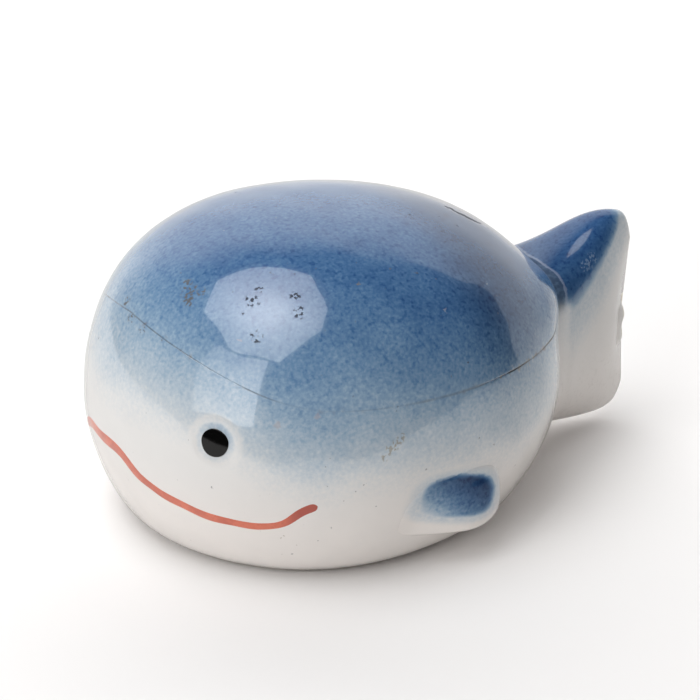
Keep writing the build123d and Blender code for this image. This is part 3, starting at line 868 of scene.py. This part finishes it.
def mouth_rows():
    """A lens-shaped section carried along the stroke, with its edges sunk in the skin."""
    knots = np.concatenate([-np.array(MOUTH_TURNS[::-1]), MOUTH_TURNS])
    values = np.concatenate([MOUTH_HEIGHTS[::-1], MOUTH_HEIGHTS])
    degrees_along = np.linspace(-MOUTH_END, MOUTH_END, MOUTH_STEPS)
    angle = np.radians(degrees_along)
    point, normal = skin_frame(outer, angle, smooth_through(knots, values, degrees_along))[:2]
    heading = np.gradient(point, axis=0)
    heading /= np.linalg.norm(heading, axis=-1, keepdims=True)
    across = np.cross(normal, heading)
    wave = np.sin(0.19 * degrees_along + 0.5) * 0.06 + np.sin(0.53 * degrees_along) * 0.04
    end = np.clip((MOUTH_END - np.abs(degrees_along)) / MOUTH_END_RUN, 0, 1)
    width = np.interp(np.abs(degrees_along), MOUTH_WIDTH_TURNS, MOUTH_WIDTHS)
    half = width / 2 * (1 + wave) * np.sqrt(1 - (1 - end) ** 2 * 0.98)
    front, back = np.linspace(-1, 1, 13), np.linspace(0.9, -0.9, 5)
    section = np.concatenate([front, back])
    lift = np.concatenate([MOUTH_PROUD * (1 - front**2) - MOUTH_EDGE, 0 * back - MOUTH_INLAY])
    side = half[:, None] * section
    # Across the stroke the skin itself bends, so each point is set back onto it
    flat = point[:, None] + side[..., None] * across[:, None]
    turn = np.arctan2(flat[..., 1], (flat[..., 0] - BODY_X) / outer.stretch(angle)[:, None])
    along = outer.along_at(flat[..., 2])
    return outer.point(turn, along) + (lift + hand_wobble(flat))[..., None] * normal[:, None]


mouth_enamel = bpy.data.materials.new("red_enamel_stroke")
recipe = Recipe(mouth_enamel)
place = recipe.node("ShaderNodeTexCoord").out("Object")
streak = recipe.noise(place, 3.0, 4)
grain = recipe.noise(place, 0.5, 3, 0.4)
mouth_colour = recipe.mix(streak.ramp(0.35, 0.65), MOUTH_DEEP, MOUTH_BRIGHT)
mouth_colour = recipe.mix(grain.ramp(0.55, 0.75) * 0.4, mouth_colour, MOUTH_GRAIN)
from_nose = recipe.node("ShaderNodeSeparateXYZ", None, {0: place}).out("X") * 1000
mouth_colour = recipe.mix(from_nose.ramp(29.5, 25.5) * 0.9, mouth_colour, MOUTH_SIDES)
recipe.finish(recipe.node("ShaderNodeBsdfPrincipled", None, {
    "Base Color": mouth_colour, "Roughness": grain * 0.2 + 0.25,
    "Coat Weight": 1.0, "Coat Roughness": 0.04,
}))
mouth = surface("mouth_line_stroke", mouth_rows(), caps=(True, True))
mouth.data.materials.append(mouth_enamel)
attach(mouth, "root")
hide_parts("mouth_line")

# Flippers: a paddle pressed from clay on each flank, flush at its top edge and lifting away
# from the body towards its bottom and rear edges, luted on before glazing
# The corners' x and z, and how far the face stands off the flank along the body and by height
FLIPPER_CORNERS = ((14.8, 5.6), (14.6, 15.4), (-3.5, 15.2), (-3.7, 4.7))
FLIPPER_MIDDLE, FLIPPER_SQUARE, FLIPPER_EDGE = (5.6, 10.3), 3.6, 1.4
FLIPPER_FACE_LIMIT, FLIPPER_LIMIT_SOFT, FLIPPER_BLEND, FLIPPER_SINK = 31.9, 0.3, 0.5, 0.12
FLIPPER_LIFT_X = (-3.6, 1.0, 4.8, 8.0, 10.6, 14.8)
FLIPPER_LIFT_SHARES = (1.0, 1.0, 0.68, 0.3, 0.02, -0.1)
FLIPPER_LIFT_Z = (4.7, 5.8, 8.6, 12.0, 14.0, 15.4)
FLIPPER_LIFTS = (3.5, 3.4, 2.85, 1.4, 0.4, 0.05)


def flank_reach(x, z):
    """How far out the body's skin lies at a place on the flank: its angle is found by repeats."""
    radius = np.interp(outer.along_at(z), outer.along, outer.radius)
    turn = np.full_like(x, np.pi / 2)
    for _ in range(12):
        turn = np.arccos(np.clip((x - BODY_X) / (radius * outer.stretch(turn)), -0.95, 0.95))
    return radius * np.sin(turn)


def flipper_rows(side):
    """A square-round outline with a pillowed face, a rounded edge and a wall into the flank.

    The outline is a superellipse drawn over the four corners. The face stands off the flank
    by one curve along the body times one curve of the height.
    """
    turn = np.linspace(0, 2 * np.pi, 180, endpoint=False)
    power = 2 / FLIPPER_SQUARE
    across = np.sign(np.cos(turn)) * np.abs(np.cos(turn)) ** power
    upward = np.sign(np.sin(turn)) * np.abs(np.sin(turn)) ** power
    (x00, z00), (x01, z01), (x11, z11), (x10, z10) = FLIPPER_CORNERS
    middle_x, middle_z = FLIPPER_MIDDLE
    rows = []
    # Each ring: its share of the outline, how far it has gone out over the edge, and its drop
    curl = np.linspace(0, np.pi / 2, 9)[1:]
    stages = [(share, 0.0, 0.0) for share in np.linspace(0.02, 1, 30)]
    stages += [(1.0, np.sin(angle), 1 - np.cos(angle)) for angle in curl]
    stages += [(1.0, 1.0, drop) for drop in (2.0, 3.0, 4.0)]
    for share, out_share, drop in stages:
        front, top = (1 + across * share) / 2, (1 + upward * share) / 2
        x = (x10 + (x00 - x10) * front) * (1 - top) + (x11 + (x01 - x11) * front) * top
        z = (z10 + (z00 - z10) * front) * (1 - top) + (z11 + (z01 - z11) * front) * top
        reach = np.maximum(np.hypot(x - middle_x, z - middle_z), 1e-6)
        pull = 1 - FLIPPER_EDGE * share**2 * (1 - out_share) / reach
        x, z = middle_x + (x - middle_x) * pull, middle_z + (z - middle_z) * pull
        flank = flank_reach(x, z)
        flank = flank + hand_wobble(np.stack([x, flank * side, z], -1))
        lift = smooth_through(FLIPPER_LIFT_X, FLIPPER_LIFT_SHARES, x)
        lift = lift * smooth_through(FLIPPER_LIFT_Z, FLIPPER_LIFTS, z)
        # Where it lies nearly flush the face eases into the skin instead of cutting it
        lift = (lift + np.sqrt(lift**2 + FLIPPER_BLEND**2)) / 2 - FLIPPER_SINK
        room = FLIPPER_FACE_LIMIT - flank - lift
        room = (room + np.sqrt(room**2 + FLIPPER_LIMIT_SOFT)) / 2
        y = FLIPPER_FACE_LIMIT - room - FLIPPER_EDGE * drop
        rows.append(np.stack([x, y * side, z], -1))
    rows = np.array(rows)
    return rows if side > 0 else rows[:, ::-1]


def flipper_glaze():
    """White glaze with one airbrushed blue patch on the face, soft at its edges."""
    glaze = Glaze("airbrushed_flipper_glaze")
    patch = glaze.flipper_patch()
    colour = glaze.spray(glaze.body_blue().larger(patch), glaze.clay(), patch * 0.6)
    return glaze.fire(colour, gloss=0.45)


patched_glaze = flipper_glaze()
for side, name in ((1, "left_flipper"), (-1, "right_flipper")):
    paddle_rows = flipper_rows(side)
    flipper = surface(name + "_paddle", paddle_rows, caps=(True, True))
    set_seam_distance(flipper, np.full(paddle_rows.shape[:2], SEAM_FAR))
    flipper.data.materials.append(patched_glaze)
    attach(flipper, "root")
    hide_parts(name)

# Tail: a solid upright fin, thick where it is luted to the rear of the body and thin at its
# hollowed rear edge, which carries a lump of spilt glaze. A crack runs round its root.
# Sections from the root to the rear edge: place along the body, half width, top and bottom
TAIL_PLACES = (-18.0, -25.5, -31.1, -36.5, -40.3, -42.2, -43.0)
TAIL_WIDTHS = (13.7, 10.2, 7.4, 4.9, 2.55, 1.3, 0.8)
TAIL_TOPS = (28.9, 29.3, 31.5, 33.8, 33.8, 31.3, 28.0)
TAIL_BOTTOMS = (4.7, 3.0, 1.9, 1.4, 1.8, 3.8, 6.0)
TAIL_SHOULDER, TAIL_HAUNCH = 0.82, 0.66
FILLET_HEIGHTS, FILLET_REACHES, ROOT_SUNK, SWELL_SHARE = (18.0, 26.0), (3.4, 1.2), 0.8, 0.95
LUMP_HEIGHTS, LUMP_START, LUMP_DEPTH, LUMP_WIDER = (12.4, 19.8), -39.9, 0.55, 0.35
NOTCH_DEPTH, NOTCH_HEIGHT, NOTCH_SPAN, NOTCH_START, NOTCH_RUN = 1.7, 17.3, 12.0, -37.5, 5.5
TAIL_COLUMNS, TAIL_ROWS = 200, 150
TAIL_MARKS = ((-22.6, 6.0, 29.6, 0.35), (-23.4, 6.3, 29.7, 0.3), (-22.9, 6.9, 29.5, 0.2))
TAIL_PALE_MARKS = ((-31.3, 2.8, 32.2, 0.2),)
TAIL_WORN_MARKS = ((-32.0, 6.0, 29.3, 1.3), (-32.8, 5.5, 29.6, 1.1), (-31.1, 6.3, 28.9, 1.0))
COLLAR_SHADE, COLLAR_REFLECTED_BLUE, COLLAR_PALE = (0.035, 0.065, 0.12), (0.075, 0.125, 0.20), (0.42, 0.47, 0.58)
ROOT_PAINTED_LIGHT, TAIL_GREY, TAIL_CRACK_SHADE = (0.9, 0.89, 0.88), (0.55, 0.52, 0.50), (0.06, 0.06, 0.07)
TAIL_CHIP, TAIL_SHINE, TAIL_WORN = (0.03, 0.03, 0.07), (0.75, 0.8, 0.85), (0.32, 0.45, 0.62)
SPILL_DARK, SPILL_PALE = (0.55, 0.49, 0.38), (0.90, 0.86, 0.77)


def tail_point(run, turn):
    """Section points: four quarter curves between the tail's top, sides and bottom.

    run goes from 0 at the root to 1 at the rear edge; turn goes round the section. Each
    quarter is a cubic curve with two pulling points. The rear edge is hollowed by a parabola
    of the height.
    """
    place = np.interp(run, (0, 1), (TAIL_PLACES[0], TAIL_PLACES[-1]))
    down_places = -np.array(TAIL_PLACES)
    half = smooth_through(down_places, TAIL_WIDTHS, -place)
    top = smooth_through(down_places, TAIL_TOPS, -place)
    bottom = smooth_through(down_places, TAIL_BOTTOMS, -place)
    quarter = turn / (np.pi / 2)
    share = quarter - np.floor(quarter)
    order = np.floor(quarter).astype(int) % 4
    full = np.where((order == 0) | (order == 3), TAIL_SHOULDER, TAIL_HAUNCH)
    rise = 3 * full * share * (1 - share) ** 2 + 3 * share**2 * (1 - share) + share**3
    fall = (1 - share) ** 3 + 3 * share * (1 - share) ** 2 + 3 * full * share**2 * (1 - share)
    sideways = np.select([order == 0, order == 1, order == 2], [rise, fall, -rise], -fall)
    upward = np.select([order == 0, order == 1, order == 2], [fall, -rise, -fall], rise)
    middle, tall = (top + bottom) / 2, (top - bottom) / 2
    hollow = NOTCH_DEPTH * np.clip(1 - ((middle + tall * upward - NOTCH_HEIGHT) / NOTCH_SPAN) ** 2, 0, 1)
    rear_share = np.clip((NOTCH_START - place) / NOTCH_RUN, 0, 1)
    x = place + hollow * rear_share**2
    return np.stack([x, half * sideways, middle + tall * upward], -1)


def skin_gap(points):
    """How far points lie outside the body's skin, with its swell at the tail's root."""
    return outer.outside(points) - SWELL_SHARE * root_swell(points)


def tail_rows():
    """Rows from just inside the body's skin to the rear edge, with each point's gap to the skin.

    Near the skin the fin swells as a fillet, by the square of what is left of its reach. The
    place where each row starts is found by halving the interval.
    """
    turn = np.linspace(0, 2 * np.pi, TAIL_COLUMNS, endpoint=False)
    low, high = np.zeros_like(turn), np.ones_like(turn)
    for _ in range(30):
        middle = (low + high) / 2
        inside = skin_gap(tail_point(middle, turn)) < -ROOT_SUNK
        low, high = np.where(inside, middle, low), np.where(inside, high, middle)
    share = np.linspace(0, 1, TAIL_ROWS)
    share = share + 0.12 * np.sin(2 * np.pi * share) / (2 * np.pi)
    rows = tail_point(low + (1 - low) * share[:, None], turn)
    gap = skin_gap(rows)
    fillet = np.interp(rows[..., 2], FILLET_HEIGHTS, FILLET_REACHES)
    swell = np.clip(fillet - np.maximum(gap, 0), 0, None) ** 2 / (2 * fillet) * np.clip(1 + gap, 0, 1)
    rows = rows + normals(rows) * (swell * 0.5)[..., None]
    # The lump of spilt glaze stands out rearwards and a little sideways
    x, y, z = rows[..., 0], rows[..., 1], rows[..., 2]
    foot, head = LUMP_HEIGHTS
    lump = np.clip((z - foot) * (head - z) / 9, 0, 1) * np.clip(LUMP_START - x, 0, 1)
    lump = lump * (0.8 + 0.22 * np.sin(1.5 * z + 0.9) + 0.06 * np.sin(2.9 * z + y))
    rows = np.stack([x - LUMP_DEPTH * lump, y * (1 + LUMP_WIDER * lump), z], -1)
    return rows, gap


def tail_glaze():
    """Blue over the top and down the sides to a slanting line, white below it.

    Along the root lie a pale line, a dark collar of painted shade and painted reflection, and a hair
    crack deepened by painted shade. Low down the fillet carries a painted highlight.
    """
    glaze = Glaze("airbrushed_tail_glaze")
    back = -28 - glaze.x
    slant = abs(back) * 0.38 + back * back * 0.036
    above = glaze.z - (slant + 24.5 + glaze.cloud * 1.6 + glaze.fine * 1.2)
    coverage = above.ramp(-2.5, 2.8).larger(above.ramp(-11, 0) * 0.13)
    # The tail's clay is a tenth darker than the body's: painted shade
    clay = glaze.mix(0.1, glaze.clay(), (0.0, 0.0, 0.0))
    colour = glaze.spray(coverage * 1.1, clay, glaze.x.ramp(-34, -25) * 0.3)
    upper = glaze.z.ramp(23, 26)
    texture = glaze.noise(glaze.place, 0.6, 3, 0.36)
    root = glaze.seam + (texture - 0.5) * 0.45 + glaze.cloud * 0.5
    # Next to the body the upper root is dark, textured blue and dull: painted shade in the crease and a
    # painted reflection
    collar_shade = root.ramp(1.5, 0.9) * upper
    painted_collar_shade = glaze.mix(texture.ramp(0.4, 0.65), COLLAR_SHADE, COLLAR_REFLECTED_BLUE)
    colour = glaze.mix(collar_shade * 0.8, colour, painted_collar_shade)
    pale = root.ramp(1.15, 1.3) * root.ramp(1.7, 1.4) * upper
    colour = glaze.mix(pale * 0.4, colour, COLLAR_PALE)
    # The fillet low on the root is painted lighter: a painted highlight on its ridge
    colour = glaze.mix(root.ramp(2.6, 1.2) * (1 - upper) * 0.5, colour, ROOT_PAINTED_LIGHT)
    colour = glaze.mix(texture.ramp(0.5, 0.75) * glaze.z.ramp(20, 8) * 0.25, colour, TAIL_GREY)
    # The dark broken line round the root is partly a hair crack and partly painted shade in the crease
    crack = glaze.seam.ramp(0.16, 0.02) * glaze.noise(glaze.place, 3, 3, 0.4).ramp(0.4, 0.6)
    colour = glaze.mix(crack * 0.5, colour, TAIL_CRACK_SHADE)
    colour = glaze.mix(glaze.spots(TAIL_MARKS) * 0.8, colour, TAIL_CHIP)
    colour = glaze.mix(glaze.spots(TAIL_PALE_MARKS) * 0.8, colour, TAIL_SHINE)
    colour = glaze.mix(glaze.spots(TAIL_WORN_MARKS, True) * 0.4, colour, TAIL_WORN)
    lump = glaze.x.ramp(-40.9, -41.5) * glaze.z.ramp(11.8, 12.6) * glaze.z.ramp(20.6, 19.8)
    spill = glaze.mix(texture.ramp(0.3, 0.65), SPILL_DARK, SPILL_PALE)
    colour = glaze.mix(lump, colour, spill)
    return glaze.fire(colour, collar_shade.larger(lump * 0.7), gloss=0.75)


tail_grid, tail_gap = tail_rows()
tail = surface("tail_fin", tail_grid, caps=(True, True))
set_seam_distance(tail, tail_gap)
tail.data.materials.append(tail_glaze())
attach(tail, "root")
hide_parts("tail")
